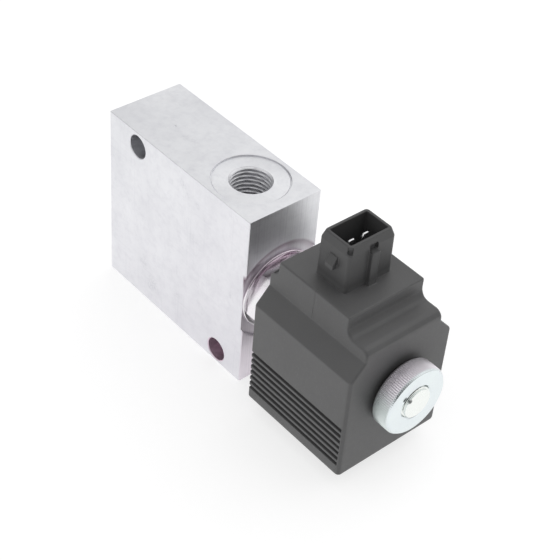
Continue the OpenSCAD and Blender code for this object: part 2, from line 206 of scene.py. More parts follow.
# ------------------------------------------------------------------ signed distances, negative inside
def polygon_distance(points, x, y):
    points = np.asarray(points, float)
    shape = np.broadcast(x, y).shape
    nearest = np.full(shape, 1e18)
    inside = np.zeros(shape, bool)
    for i in range(len(points)):
        ax, ay = points[i]
        bx, by = points[(i + 1) % len(points)]
        edge_x, edge_y = bx - ax, by - ay
        length2 = edge_x * edge_x + edge_y * edge_y
        if length2 < 1e-14:
            continue
        from_x, from_y = x - ax, y - ay
        along = np.clip((from_x * edge_x + from_y * edge_y) / length2, 0, 1)
        dx, dy = from_x - edge_x * along, from_y - edge_y * along
        nearest = np.minimum(nearest, dx * dx + dy * dy)
        if ay != by:
            inside ^= ((ay > y) != (by > y)) & (x < (bx - ax) * (y - ay) / (by - ay) + ax)
    return np.where(inside, -1.0, 1.0) * np.sqrt(nearest)


def meet(a, b, radius):
    """Intersection with a rounded edge."""
    u, v = np.maximum(a + radius, 0), np.maximum(b + radius, 0)
    return np.minimum(-radius, np.maximum(a, b)) + np.sqrt(u * u + v * v)


def join(a, b, radius):
    """Union with a fillet."""
    u, v = np.maximum(radius - a, 0), np.maximum(radius - b, 0)
    return np.maximum(radius, np.minimum(a, b)) - np.sqrt(u * u + v * v)


def rectangle_distance(x, y, half_x, half_y, radius):
    u, v = np.abs(x) - half_x + radius, np.abs(y) - half_y + radius
    outside = np.sqrt(np.maximum(u, 0) ** 2 + np.maximum(v, 0) ** 2)
    return np.minimum(np.maximum(u, v), 0) + outside - radius


def box_distance(x, y, z, low, high, radius=0.0):
    u, v, w = (np.abs(value - (a + b) / 2) - (b - a) / 2 + radius
               for value, a, b in zip((x, y, z), low, high))
    outside = np.sqrt(np.maximum(u, 0) ** 2 + np.maximum(v, 0) ** 2 + np.maximum(w, 0) ** 2)
    return np.minimum(np.maximum(np.maximum(u, v), w), 0) + outside - radius


# ------------------------------------------------------------------ mesh of a distance function
def grid_axis(low, high, base, fine):
    """Grid lines at the base step, or at the smaller step of the (start, end, step) spans in fine."""
    lines, place = [low], low
    while place < high:
        step = base
        for start, end, size in fine:
            if start - 1e-6 <= place < end:
                step = min(step, size)
        following = place + step
        for start, end, size in fine:
            if size < step - 1e-9 and place < start - 1e-6 < following:
                following = start
        place = following
        lines.append(place)
    return np.array(lines)


def gradient(distance, points):
    step = 0.01
    slope = np.zeros_like(points)
    for axis in range(3):
        shift = np.zeros(3)
        shift[axis] = step
        rise = distance(*(points + shift).T) - distance(*(points - shift).T)
        slope[:, axis] = rise / (2 * step)
    return slope


def crossing_mean(field, cells, grid):
    """Mean of the zero crossings on the edges of each cell."""
    total = np.zeros((len(cells[0]), 3))
    count = np.zeros(len(cells[0]))
    for near in [(a, b, c) for a in (0, 1) for b in (0, 1) for c in (0, 1)]:
        for axis in range(3):
            if near[axis]:
                continue
            far = list(near)
            far[axis] = 1
            near_at = [cell + step for cell, step in zip(cells, near)]
            far_at = [cell + step for cell, step in zip(cells, far)]
            f_near, f_far = field[tuple(near_at)], field[tuple(far_at)]
            hit = (f_near < 0) != (f_far < 0)
            part = np.where(hit, f_near / np.where(hit, f_near - f_far, 1), 0)
            start = np.stack([lines[i] for lines, i in zip(grid, near_at)], 1)
            end = np.stack([lines[i] for lines, i in zip(grid, far_at)], 1)
            total += np.where(hit[:, None], start + (end - start) * part[:, None], 0)
            count += hit
    return total / count[:, None]


def crossing_quads(solid, index):
    """One quad round every grid edge that passes through the surface, facing outward."""
    quads = []
    for axis in range(3):
        lower, upper = [slice(None)] * 3, [slice(None)] * 3
        lower[axis], upper[axis] = slice(0, -1), slice(1, None)
        first, second = solid[tuple(lower)], solid[tuple(upper)]
        edges = list(np.nonzero(first != second))
        side1, side2 = [(1, 2), (2, 0), (0, 1)][axis]
        inner = ((edges[side1] > 0) & (edges[side2] > 0)
                 & (edges[side1] < index.shape[side1]) & (edges[side2] < index.shape[side2]))
        edges = [edge[inner] for edge in edges]
        outward = first[tuple(edges)]

        def point(back1, back2):
            cell = [edge.copy() for edge in edges]
            cell[side1] -= back1
            cell[side2] -= back2
            return index[tuple(cell)]

        quad = np.stack([point(1, 1), point(0, 1), point(0, 0), point(1, 0)], 1)
        quad[~outward] = quad[~outward][:, ::-1]
        quads.append(quad)
    return np.concatenate(quads)


def surface_nets(distance, xs, ys, zs):
    """Points, quads and point normals of the zero level of a distance function."""
    grid = (xs, ys, zs)
    shape = tuple(len(lines) for lines in grid)
    field = np.broadcast_to(
        distance(xs[:, None, None], ys[None, :, None], zs[None, None, :]), shape)
    field = np.where(np.abs(field) < 1e-6, 1e-6, field)
    solid = field < 0
    filled = np.zeros(tuple(n - 1 for n in shape), np.int8)
    for corner in [(a, b, c) for a in (0, 1) for b in (0, 1) for c in (0, 1)]:
        filled += solid[tuple(slice(o, n - 1 + o) for o, n in zip(corner, shape))]
    mixed = (filled > 0) & (filled < 8)
    cells = np.nonzero(mixed)
    index = np.full(mixed.shape, -1, np.int64)
    index[mixed] = np.arange(len(cells[0]))
    points = crossing_mean(field, cells, grid)
    quads = crossing_quads(solid, index)

    # move the points onto the surface, keeping each close to its own cell
    size = np.stack([lines[i + 1] - lines[i] for lines, i in zip(grid, cells)], 1)
    low = np.stack([lines[i] for lines, i in zip(grid, cells)], 1) - 0.15 * size
    high = low + 1.3 * size
    for _ in range(4):
        value = distance(*points.T)
        slope = gradient(distance, points)
        steepness = np.maximum((slope * slope).sum(1), 0.05)
        points = np.clip(points - slope * (value / steepness)[:, None] * 0.9, low, high)
    slope = gradient(distance, points)
    return points, quads, slope / np.maximum(np.linalg.norm(slope, axis=1), 1e-6)[:, None]


# ------------------------------------------------------------------ turned and threaded shapes
def revolve(profile, segments, axis="x", centre=AXIS_POINT, shape=None):
    """Vertices and faces of a turned solid from (radius, height along the axis) points.
    The profile is closed on itself unless it starts and ends at radius 0.
    shape(radius, height, angles) may return another radius for each angle."""
    closed = profile[0][0] > 1e-9 or profile[-1][0] > 1e-9
    verts, rows, faces = [], [], []
    angles = 2 * math.pi * np.arange(segments) / segments
    for radius, height in profile:
        if radius < 1e-9:
            rows.append([len(verts)] * segments)
            verts.append((0.0, 0.0, height))
            continue
        radii = shape(radius, height, angles) if shape else np.full(segments, radius)
        rows.append(list(range(len(verts), len(verts) + segments)))
        verts += [(radii[i] * math.cos(angles[i]), radii[i] * math.sin(angles[i]), height)
                  for i in range(segments)]
    for k in range(len(rows) if closed else len(rows) - 1):
        row, following = rows[k], rows[(k + 1) % len(rows)]
        for i in range(segments):
            j = (i + 1) % segments
            face = list(dict.fromkeys([row[i], row[j], following[j], following[i]]))
            if len(face) >= 3:
                faces.append(face)
    verts = np.array(verts)
    if axis == "x":      # local z -> x, x -> -z, y -> y
        verts = np.stack([verts[:, 2], verts[:, 1], -verts[:, 0]], 1)
    elif axis == "y":    # local z -> y, y -> -z
        verts = np.stack([verts[:, 0], verts[:, 2], -verts[:, 1]], 1)
    return verts + np.array(centre, float), faces


def turned_object(name, profile, segments=128, axis="x", centre=AXIS_POINT, shape=None):
    return clean(new_object(name, *revolve(profile, segments, axis, centre, shape)))


def thread_shape(root, pitch, depth, start, end, fade, flat=0.28):
    """Shape function: a helical thread on the profile points at the root radius, fading out over
    fade pitches at both ends. flat is the share of the pitch cut off at root and crest."""
    def shape(radius, height, angles):
        if abs(radius - root) > 1e-6:
            return np.full(len(angles), radius)
        phase = (height / pitch - angles / (2 * math.pi)) % 1.0
        rise = 1 - np.abs(2 * phase - 1)                  # 0 at the root, 1 at the crest
        rise = np.clip((rise - flat) / (1 - 2 * flat), 0, 1)
        rise = rise * rise * (3 - 2 * rise) * 0.35 + rise * 0.65
        weight = (min(1.0, max(0.0, (height - start) / (fade * pitch)))
                  * min(1.0, max(0.0, (end - height) / (fade * pitch))))
        return radius + depth * rise * weight
    return shape


def stations(start, end, step):
    count = max(1, int(round(abs(end - start) / step)))
    return [start + (end - start) * i / count for i in range(count + 1)]


# ------------------------------------------------------------------ materials
class Shader:
    """Node material; most methods add nodes and return their output socket."""

    def __init__(self, name):
        self.data = bpy.data.materials.new(name)
        self.data.use_nodes = True
        self.tree = self.data.node_tree
        self.tree.nodes.clear()
        output = self.node("OutputMaterial")
        self.surface = self.node("BsdfPrincipled")
        self.tree.links.new(self.surface.outputs[0], output.inputs[0])
        self.coords = self.node("TexCoord")

    def node(self, kind):
        return self.tree.nodes.new("ShaderNode" + kind)

    def feed(self, socket, value):
        """Link a socket, or write a number or an RGB colour."""
        if isinstance(value, bpy.types.NodeSocket):
            self.tree.links.new(value, socket)
        elif value is not None:
            socket.default_value = (*value, 1) if isinstance(value, tuple) else value

    def set(self, key, value):
        self.feed(self.surface.inputs[key], value)

    def math(self, operation, a, b=None):
        node = self.node("Math")
        node.operation = operation
        self.feed(node.inputs[0], a)
        self.feed(node.inputs[1], b)
        return node.outputs[0]

    def add(self, a, b):
        return self.math("ADD", a, b)

    def sub(self, a, b):
        return self.math("SUBTRACT", a, b)

    def mul(self, a, b):
        return self.math("MULTIPLY", a, b)

    def gap(self, a, b):
        return self.math("ABSOLUTE", self.sub(a, b))

    def near(self, value, place, reach):
        """1 within reach of the place, 0 elsewhere."""
        return self.math("LESS_THAN", self.gap(value, place), reach)

    def radius(self, a, b):
        return self.math("SQRT", self.add(self.mul(a, a), self.mul(b, b)))

    def xyz(self, space):
        """Components of the Object coordinates or of the Normal."""
        node = self.node("SeparateXYZ")
        self.tree.links.new(self.coords.outputs[space], node.inputs[0])
        return node.outputs

    def noise(self, scale, detail, rough=0.55, vector=None):
        node = self.node("TexNoise")
        self.feed(node.inputs["Vector"], vector or self.coords.outputs["Object"])
        node.inputs["Scale"].default_value = scale
        node.inputs["Detail"].default_value = detail
        node.inputs["Roughness"].default_value = rough
        return node.outputs["Fac"]

    def streaks(self, stretch, detail, rough, tilt=0):
        """Drawn-out noise: scale along each axis, turned by tilt degrees about Y."""
        node = self.node("Mapping")
        self.tree.links.new(self.coords.outputs["Object"], node.inputs[0])
        node.inputs["Scale"].default_value = stretch
        node.inputs["Rotation"].default_value = (0, math.radians(tilt), 0)
        return self.noise(1.0, detail, rough, node.outputs[0])

    def remap(self, value, span, to=(0.0, 1.0), smooth=False):
        node = self.node("MapRange")
        if smooth:
            node.interpolation_type = "SMOOTHSTEP"
        self.feed(node.inputs["Value"], value)
        for key, number in zip(("From Min", "From Max", "To Min", "To Max"), (*span, *to)):
            node.inputs[key].default_value = number
        return node.outputs[0]

    def fade(self, value, span, to=(0.0, 1.0)):
        return self.remap(value, span, to, smooth=True)

    def mix(self, factor, base, colour):
        node = self.node("Mix")
        node.data_type = "RGBA"
        for i, value in ((0, factor), (6, base), (7, colour)):
            self.feed(node.inputs[i], value)
        return node.outputs[2]

    def tint(self, base, mask, amount, colour):
        return self.mix(self.mul(mask, amount), base, colour)

    def blend(self, factor, low, high):
        node = self.node("Mix")
        node.data_type = "FLOAT"
        for i, value in ((0, factor), (2, low), (3, high)):
            self.feed(node.inputs[i], value)
        return node.outputs[0]

    def rings(self, radius, pitch, wobble, wobble_scale):
        """Concentric turning marks, slightly uneven."""
        uneven = self.add(radius, self.mul(self.noise(wobble_scale, detail=3), wobble))
        return self.math("SINE", self.mul(uneven, 2 * math.pi / pitch))

    def bump(self, height, strength, distance, normal=None):
        node = self.node("Bump")
        node.inputs["Strength"].default_value = strength
        node.inputs["Distance"].default_value = distance
        self.tree.links.new(height, node.inputs["Height"])
        self.feed(node.inputs["Normal"], normal)
        return node.outputs[0]


def metal(name, colour, rough, vary=0.05, tint=None, bump=0.15, streak=None, rough_vary=0.08):
    """Machined or plated metal: slow colour and roughness drift, fine grain, directional marks.
    mat.colour keeps the drifting colour for further tinting."""
    mat = Shader(name)
    other = tint or tuple(max(0, c - vary) for c in colour)
    slow = mat.noise(scale=90, detail=3)
    mat.colour = mat.mix(mat.remap(slow, span=(0.35, 0.65)), colour, other)
    mat.set("Base Color", mat.colour)
    mat.set("Metallic", 1.0)
    uneven = mat.noise(scale=700, detail=4)
    mat.set("Roughness", mat.blend(uneven, low=rough - rough_vary, high=rough + rough_vary))
    height = mat.noise(scale=2500, detail=3)
    if streak:
        marks = mat.streaks(streak, detail=4, rough=0.6)
        height = mat.add(mat.mul(marks, 2.0), height)
    mat.set("Normal", mat.bump(height, strength=bump, distance=0.00005))
    return mat


def turned_metal(name, pitch, bump):
    """Bare turned metal with marks about the cartridge axis; the caller adds colour and roughness."""
    mat = Shader(name)
    x, y, z = mat.xyz("Object")
    radius = mat.radius(mat.sub(y, 0.0), mat.sub(z, AXIS_Z * MM))
    ring = mat.rings(radius, pitch, wobble=pitch * 1.5, wobble_scale=1200)
    height = mat.add(mat.mul(ring, 0.5), mat.noise(scale=2600, detail=3))
    mat.set("Metallic", 1.0)
    mat.set("Normal", mat.bump(height, strength=bump, distance=0.00003))
    return mat


def plastic(name, colour, rough, vary, grain, bump):
    """Moulded plastic: spark-eroded grain and slow colour drift, kept in mat.colour."""
    mat = Shader(name)
    other = tuple(max(0, c - vary) for c in colour)
    slow = mat.noise(scale=60, detail=3)
    mat.colour = mat.mix(mat.remap(slow, span=(0.3, 0.7)), colour, other)
    mat.set("Base Color", mat.colour)
    uneven = mat.noise(scale=900, detail=4)
    mat.set("Roughness", mat.blend(uneven, low=rough - 0.06, high=rough + 0.08))
    height = mat.add(mat.noise(scale=grain, detail=4, rough=0.6),
                     mat.mul(mat.noise(scale=900, detail=2), 0.6))
    mat.set("Normal", mat.bump(height, strength=bump, distance=0.00006))
    return mat


def rubber_material():
    mat = Shader("nitrile_rubber")
    cloud = mat.noise(scale=300, detail=3)
    mat.set("Base Color", mat.mix(cloud, (0.02, 0.02, 0.021), (0.035, 0.035, 0.036)))
    mat.set("Roughness", mat.blend(mat.noise(scale=900, detail=3), low=0.45, high=0.6))
    grain = mat.noise(scale=3000, detail=3)
    mat.set("Normal", mat.bump(grain, strength=0.15, distance=0.00004))
    return mat


# ------------------------------------------------------------------ valve block material
def block_skin(mat, place, facing):
    """Worn skin, drag marks, blots and cutter lines of the block, and a painted dark reflection on
    the cartridge face.
    """
    x, y, z = place
    facing_x, facing_y, _ = facing
    slow = mat.noise(scale=55, detail=5, rough=0.6)
    mottle = mat.noise(scale=420, detail=5, rough=0.65)
    scratches = mat.streaks((60, 60, 1400), detail=5, rough=0.65, tilt=12)
    base = mat.mix(mat.remap(slow, span=(0.35, 0.68)), (0.835, 0.84, 0.86), (0.76, 0.765, 0.79))
    base = mat.tint(base, mask=mat.remap(mottle, span=(0.45, 0.75)), amount=0.42,
                    colour=(0.64, 0.64, 0.68))
    base = mat.tint(base, mask=mat.remap(scratches, span=(0.58, 0.75)), amount=0.30,
                    colour=(0.60, 0.60, 0.64))
    # slow drift to a mauve cast along and down the Y sides
    drift = mat.mul(mat.add(mat.remap(x, span=(-0.03, 0.032), to=(0.0, 0.5)),
                            mat.remap(z, span=(0.058, 0.0), to=(0.0, 0.5))), facing_y)
    base = mat.tint(base, mask=drift, amount=0.32, colour=(0.84, 0.80, 0.87))
    # painted dark reflection of the coil: a mauve cast on the cartridge face, close round the recess
    # and below it
    below = mat.fade(z, span=((AXIS_Z + 16) * MM, (AXIS_Z + 4) * MM))
    at_face = mat.remap(x, span=((FACE_X - 2) * MM, (FACE_X - 1) * MM))
    base = mat.tint(base, mask=mat.mul(mat.mul(facing_x, below), at_face), amount=0.55,
                    colour=(0.80, 0.70, 0.78))
    # long drag marks from the drawn bar on the Y sides
    drag = mat.streaks((900, 900, 30), detail=3, rough=0.6, tilt=38)
    base = mat.tint(base, mask=mat.remap(drag, span=(0.62, 0.78)),
                    amount=mat.mul(facing_y, 0.22), colour=(0.55, 0.56, 0.60))
    patches = mat.remap(mat.noise(scale=130, detail=2, rough=0.5), span=(0.64, 0.74))
    specks = mat.remap(mat.noise(scale=1500, detail=3), span=(0.4, 0.6))
    base = mat.tint(base, mask=mat.mul(patches, specks), amount=0.25,
                    colour=(0.42, 0.42, 0.47))
    # cutter lines down the milled X ends
    mill = mat.streaks((8, 2100, 6), detail=4, rough=0.7)
    return mat.tint(base, mask=mat.remap(mill, span=(0.5, 0.72)),
                    amount=mat.mul(facing_x, 0.36), colour=(0.50, 0.48, 0.52))


def block_recess_shade_and_hole_tint(mat, base, place):
    """Painted shade on the floor of the cartridge recess along its wall, and a mauve tint in the low
    mounting hole.
    """
    x, y, z = place
    rise = mat.sub(z, AXIS_Z * MM)
    radius = mat.radius(y, rise)
    # painted shade: a dark mauve ring on the recess floor along its wall, strongest at the top
    at_recess = mat.near(x, FACE_X * MM, reach=0.0011)
    inner = mat.fade(radius, span=(0.0132, 0.0156), to=(0.1, 1.0))
    outer = mat.fade(radius, span=(0.0158, 0.0168), to=(1.0, 0.0))
    ring = mat.mul(mat.mul(inner, outer), at_recess)
    upper = mat.fade(rise, span=(-0.002, 0.004), to=(0.12, 1.0))
    sideways = mat.fade(y, span=(0.002, 0.010), to=(1.0, 0.55))
    base = mat.tint(base, mask=mat.mul(ring, mat.mul(upper, sideways)), amount=0.82,
                    colour=(0.24, 0.17, 0.215))
    hole = mount_at("mount_hole_low")
    radius = mat.radius(mat.sub(x, hole[0] * MM), mat.sub(z, hole[2] * MM))
    return mat.mix(mat.fade(radius, span=(0.0037, 0.0041), to=(0.8, 0.0)), base,
                   (0.78, 0.62, 0.71))


def block_relief(mat, facing):
    """Milling lines on each pair of faces, over a fine grain."""
    # facing, weight, scale along X, Y and Z, tilt about Y
    lines = [(facing[0], 1.3, (8, 2600, 14), 0),
             (facing[2], 0.5, (20, 2400, 8), 0),
             (facing[1], 0.6, (120, 10, 900), 8)]
    layers = [mat.mul(mat.streaks(stretch, detail=3, rough=0.5, tilt=tilt),
                      mat.mul(toward, weight)) for toward, weight, stretch, tilt in lines]
    layers.append(mat.mul(mat.noise(scale=2200, detail=4), 0.8))
    height = layers[0]
    for layer in layers[1:]:
        height = mat.add(height, layer)
    return mat.bump(height, strength=0.22, distance=0.00006)


def block_material(ports):
    """Milled aluminium bar; ports lists (x, z, radius) of the spotfaces."""
    mat = Shader("block_milled_aluminium")
    x, y, z = place = mat.xyz("Object")
    facing = [mat.math("ABSOLUTE", part) for part in mat.xyz("Normal")]
    mat.set("Base Color", block_recess_shade_and_hole_tint(mat, block_skin(mat, place, facing), place))
    mat.set("Metallic", 1.0)
    rough = mat.blend(mat.noise(scale=260, detail=5, rough=0.6), low=0.36, high=0.52)
    normal = block_relief(mat, facing)
    # turned rings inside each spotface
    for port_x, port_z, port_radius in ports:
        radius = mat.radius(mat.sub(x, port_x * MM), y)
        ring = mat.rings(radius, pitch=0.00035, wobble=0.0001, wobble_scale=900)
        at_floor = mat.near(z, port_z * MM, reach=0.0012)
        inside = mat.mul(mat.mul(mat.math("LESS_THAN", radius, port_radius * MM), at_floor),
                         facing[2])
        normal = mat.bump(mat.mul(ring, inside), strength=0.35, distance=0.00004, normal=normal)
        rough = mat.blend(inside, low=rough, high=0.33)
    mat.set("Roughness", rough)
    mat.set("Normal", normal)
    return mat


# ------------------------------------------------------------------ valve block
SPOT_RADIUS, SPOT_DEPTH = 11.2, 0.4      # spotface round each port
PORT_MINOR = 5.74                        # radius at the thread crests of the G 1/4 port
PORT_PITCH = 1.337
THREAD_END = -13                         # end of the port thread below the face
MOUNT_HOLE = 3.65                        # radius of the mounting holes
RECESS_DEPTH = 0.75                      # round recess in the cartridge face


def port_cutter(x, z, upward, drill_radius, drill_depth):
    """Threaded port in the top or base: spotface, countersink, thread, drill."""
    floor = -SPOT_DEPTH
    profile = [(0, 3), (SPOT_RADIUS + 0.13, 3), (SPOT_RADIUS + 0.13, 0.02),
               (SPOT_RADIUS, -0.13), (SPOT_RADIUS, floor - 0.12),
               (SPOT_RADIUS - 0.24, floor - 0.12), (SPOT_RADIUS - 0.34, floor), (6.3, floor),
               (PORT_MINOR + 0.02, floor - 0.5)]
    profile += [(PORT_MINOR, h) for h in stations(floor - 0.55, THREAD_END, 0.128)]
    profile += [(PORT_MINOR - 0.1, THREAD_END - 0.3),
                (drill_radius, THREAD_END - 0.3 - (PORT_MINOR - drill_radius) * 0.6),
                (drill_radius, -drill_depth), (0, -drill_depth)]
    thread = thread_shape(PORT_MINOR, PORT_PITCH, depth=0.84, start=THREAD_END + 0.2,
                          end=floor - 0.2, fade=0.7, flat=0.14)
    verts, faces = revolve(profile, 96, "z", (0, 0, 0), thread)
    if not upward:
        verts[:, 2] *= -1
    return clean(new_object("cutter", verts + np.array([x, 0, z]), faces))


def mount_hole_cutter(name):
    """Hole right through along Y, countersunk at both ends."""
    centre = mount_at(name)
    side, mouth = block_hi[1], MOUNT_HOLE + 1.23
    profile = [(0, -side - 1), (mouth, -side - 1), (MOUNT_HOLE, -side + 0.23),
               (MOUNT_HOLE, side - 0.23), (mouth, side + 1), (0, side + 1)]
    return turned_object("cutter", profile, 96, "y", (centre[0], 0, centre[2]))


def cartridge_cutter(base_x):
    """Stepped cartridge bore from the block face to the base port drilling."""
    floor = FACE_X - RECESS_DEPTH
    # radius, x
    profile = [(0, FACE_X + 3), (16.2, FACE_X + 3), (16.2, FACE_X + 0.02),
               (15.75, FACE_X - 0.2), (15.75, floor), (10.35, floor), (10.2, FACE_X - 0.9),
               (10.2, FACE_X - 3.15), (9.6, FACE_X - 3.9), (9.6, FACE_X - 11.1),
               (7.94, FACE_X - 11.1), (7.94, FACE_X - 20), (6.35, FACE_X - 21.5),
               (6.35, FACE_X - 29.5), (4.25, FACE_X - 30.7), (4.25, base_x - 4.25),
               (0, base_x - 6.8)]
    return turned_object("cutter", profile)


def block_bar():
    """Plain bar with rounded upright edges and broken top and base edges."""
    work = bmesh.new()
    bmesh.ops.create_cube(work, size=1.0)
    for vert in work.verts:
        vert.co = Vector([((low + high) / 2 + (high - low) * part) * MM
                          for low, high, part in zip(block_lo, block_hi, vert.co)])

    def height(edge):
        return abs(edge.verts[0].co.z - edge.verts[1].co.z)

    upright = [edge for edge in work.edges if height(edge) > 1 * MM]
    bmesh.ops.bevel(work, geom=upright, offset=0.5 * MM, segments=4, profile=0.5,
                    affect="EDGES")
    level = [edge for edge in work.edges if height(edge) < 0.01 * MM]
    bmesh.ops.bevel(work, geom=level, offset=0.25 * MM, segments=2, profile=0.5,
                    affect="EDGES")
    mesh = bpy.data.meshes.new("line_block")
    work.to_mesh(mesh)
    work.free()
    obj = bpy.data.objects.new("line_block", mesh)
    scene.collection.objects.link(obj)
    return obj


def build_block():
    obj = block_bar()
    top_z = block_hi[2]
    top_x, base_x = mount_at("top_port")[0], mount_at("base_port")[0]
    cutters = [mount_hole_cutter("mount_hole_low"), mount_hole_cutter("mount_hole_high"),
               port_cutter(top_x, top_z, True, drill_radius=3.5,
                           drill_depth=top_z - AXIS_Z - 5),
               port_cutter(base_x, block_lo[2], False, drill_radius=3.9,
                           drill_depth=AXIS_Z - 1.5),
               cartridge_cutter(base_x)]
    # small centre-punch dot on the top face
    bpy.ops.mesh.primitive_uv_sphere_add(
        segments=20, ring_count=12, radius=0.55 * MM,
        location=(-15.0 * MM, -1.88 * MM, (top_z + 0.33) * MM))
    cutters.append(bpy.context.object)
    boolean(obj, cutters)
    crisp(obj, angle=30)
    modifier = obj.modifiers.new("wn", "WEIGHTED_NORMAL")
    modifier.keep_sharp = True
    modifier.weight = 60
    marks = SPOT_RADIUS - 0.05
    mat = block_material([(top_x, top_z - SPOT_DEPTH, marks), (base_x, SPOT_DEPTH, marks)])
    install(obj, mat, "root", "valve_block")


# ------------------------------------------------------------------ cartridge hexagon and thread
HEX_ACROSS_FLATS = 22.2
HEX_TURN = -22                   # degrees from straight down to the first corner
ADAPTER_ROOT = 8.70              # root radius of the cartridge thread
ADAPTER_PITCH = 1.5875


def hexagon(end):
    """Hexagon from the block face to end, with turned chamfers at both ends."""
    corner = HEX_ACROSS_FLATS / 2 / math.cos(math.radians(30))
    start = FACE_X - 0.3
    angles = [math.radians(HEX_TURN + 60 * k) for k in range(6)]
    verts = [(x, corner * math.sin(a), AXIS_Z - corner * math.cos(a))
             for x in (start, end) for a in angles]
    faces = [list(range(6)), list(range(11, 5, -1))]
    faces += [[k, (k + 1) % 6, 6 + (k + 1) % 6, 6 + k] for k in range(6)]
    obj = clean(new_object("hexagon", verts, faces, smooth=False))
    chamfer = turned_object("chamfer", [
        (0, start - 0.2), (10.95, start - 0.2), (10.95, FACE_X + 0.25), (13.3, FACE_X + 1.6),
        (13.3, end - 1.3), (11.0, end), (0, end)])
    boolean(obj, [chamfer], "INTERSECT")
    return obj


def hexagon_material():
    """Plating, with a painted dark reflection on the upper part next to the block."""
    mat = metal("plated_hexagon", (0.86, 0.87, 0.87), rough=0.24, tint=(0.85, 0.80, 0.85),
                bump=0.10, rough_vary=0.05, streak=(900, 40, 40))
    x, y, z = mat.xyz("Object")
    # painted dark reflection: mauve darkening of the upper part of the hexagon next to the block
    near = mat.fade(x, span=((FACE_X + 0.1) * MM, (FACE_X + 2.2) * MM), to=(1.0, 0.0))
    upper = mat.fade(z, span=((AXIS_Z + 4.5) * MM, (AXIS_Z + 10.0) * MM), to=(0.25, 1.0))
    mat.set("Base Color", mat.tint(mat.colour, mask=near, amount=upper,
                                   colour=(0.70, 0.62, 0.68)))
    return mat


def build_adapter():
    adapter_lo, adapter_hi = node_box("adapter_body")
    start, end = adapter_lo[0], adapter_hi[0]
    thread = thread_shape(ADAPTER_ROOT, ADAPTER_PITCH, depth=0.80, start=start + 0.3,
                          end=FACE_X - 3.7, fade=0.8)
    seat = FACE_X - RECESS_DEPTH
    profile = [(0, start), (8.3, start)]
    profile += [(ADAPTER_ROOT, h) for h in stations(start + 0.35, FACE_X - 3.6, 0.16)]
    profile += [(8.4, FACE_X - 3.3), (8.4, seat), (12.6, seat), (12.75, FACE_X - 0.6),
                (12.75, FACE_X - 0.2), (12.55, FACE_X + 0.05), (11.5, FACE_X + 0.05),
                (11.35, FACE_X - 0.1), (0, FACE_X - 0.1)]
    obj = turned_object("cartridge_hexagon", profile, 112, shape=thread)
    boolean(obj, [hexagon(end)], "UNION")
    bore = turned_object("bore", [
        (0, start - 1), (6.3, start - 1), (6.3, FACE_X - 1.25), (4.6, FACE_X - 1.25),
        (4.6, FACE_X + 1.3), (6.52, FACE_X + 1.3), (6.52, end + 1), (0, end + 1)], 112)
    boolean(obj, [bore])
    bevel(obj, width=0.12, angle=20)
    crisp(obj, angle=28)
    install(obj, hexagon_material(), "root", "adapter_body")


# ------------------------------------------------------------------ moulded coil housing
# Heights are above the cartridge axis.
BLADE_X = (blade_lo[0] + blade_hi[0]) / 2
BLADE_Y = 2.5                            # blades stand at +-BLADE_Y
BLADE_HALF_X, BLADE_HALF_Y = 0.42, 1.42
SOCKET_X = BLADE_X - 0.2                 # centre of the plug socket
SOCKET_HALF_X, SOCKET_HALF_Y, WALL = 4.0, 6.45, 1.62
SOCKET_FRONT = SOCKET_X + SOCKET_HALF_X  # front wall of the cavity
RIM = coil_hi[2] - AXIS_Z                # top of the socket
BASE = -24.4
PLATFORM = 25.5                          # top of the platform under the socket
PLATFORM_HALF_Y = 13.2
PLATFORM_BACK, PLATFORM_FRONT = BACK_X + 3.02, FRONT_X - 8.03
SHOULDER = 19.65                         # top of the housing in front of the platform
LIP = 2.3                                # height of the taper at the socket rim
GROOVES, GROOVE_PITCH, GROOVE_TOP = 7, 2.13, -6.5
GROOVE_HALF, GROOVE_DEPTH = 0.52, 1.05

# Outline seen along Y. Centre x, centre height, radius, start and end degrees, segments.
SIDE_ARCS = [
    (FRONT_X - 2.2, BASE + 2.2, 2.2, -90, 0, 8),
    (FRONT_X - 2.6, SHOULDER - 2.6, 2.6, 0, 90, 12),
    (PLATFORM_FRONT + 2.6, SHOULDER + 2.6, 2.6, 270, 180, 12),
    (PLATFORM_FRONT - 0.45, PLATFORM - 0.45, 0.45, 0, 90, 5),
    (PLATFORM_BACK + 0.45, PLATFORM - 0.45, 0.45, 90, 180, 5),
    (PLATFORM_BACK - 2.28, PLATFORM - 2.6, 2.28, 0, -70, 9),
    (PLATFORM_BACK - 0.70, PLATFORM - 6.75, 2.28, 110, 180, 9),
    (BACK_X + 1.3, BASE + 1.3, 1.3, 180, 270, 6)]
SIDE = [point for row in SIDE_ARCS for point in arc(*row)]
# Outline seen along X: y, height, corner radius.
END = rounded_polygon([
    (HALF_WIDTH, BASE, 1.7), (HALF_WIDTH, 10.95, 1.6), (PLATFORM_HALF_Y + 0.38, 16.0, 0.7),
    (PLATFORM_HALF_Y, PLATFORM + 3, 0), (-PLATFORM_HALF_Y, PLATFORM + 3, 0),
    (-PLATFORM_HALF_Y - 0.38, 16.0, 0.7), (-HALF_WIDTH, 10.95, 0.7),
    (-HALF_WIDTH, BASE, 2.1)], 6)
# Outline seen from above: x, y, corner radius.
PLAN = rounded_polygon([(FRONT_X, -HALF_WIDTH, 1.65), (FRONT_X, HALF_WIDTH, 1.2),
                        (BACK_X, HALF_WIDTH, 0.7), (BACK_X, -HALF_WIDTH, 0.7)], 8)
# Latch ramp seen along X: distance from the middle, height.
RAMP_REACH = 9.90
RAMP = [(SOCKET_HALF_Y + WALL - 0.6, RIM - 8.2), (RAMP_REACH, RIM - 8.2),
        (RAMP_REACH, RIM - 6.9), (SOCKET_HALF_Y + WALL + 0.35, RIM - 4.6),
        (SOCKET_HALF_Y + WALL - 0.6, RIM - 4.6)]


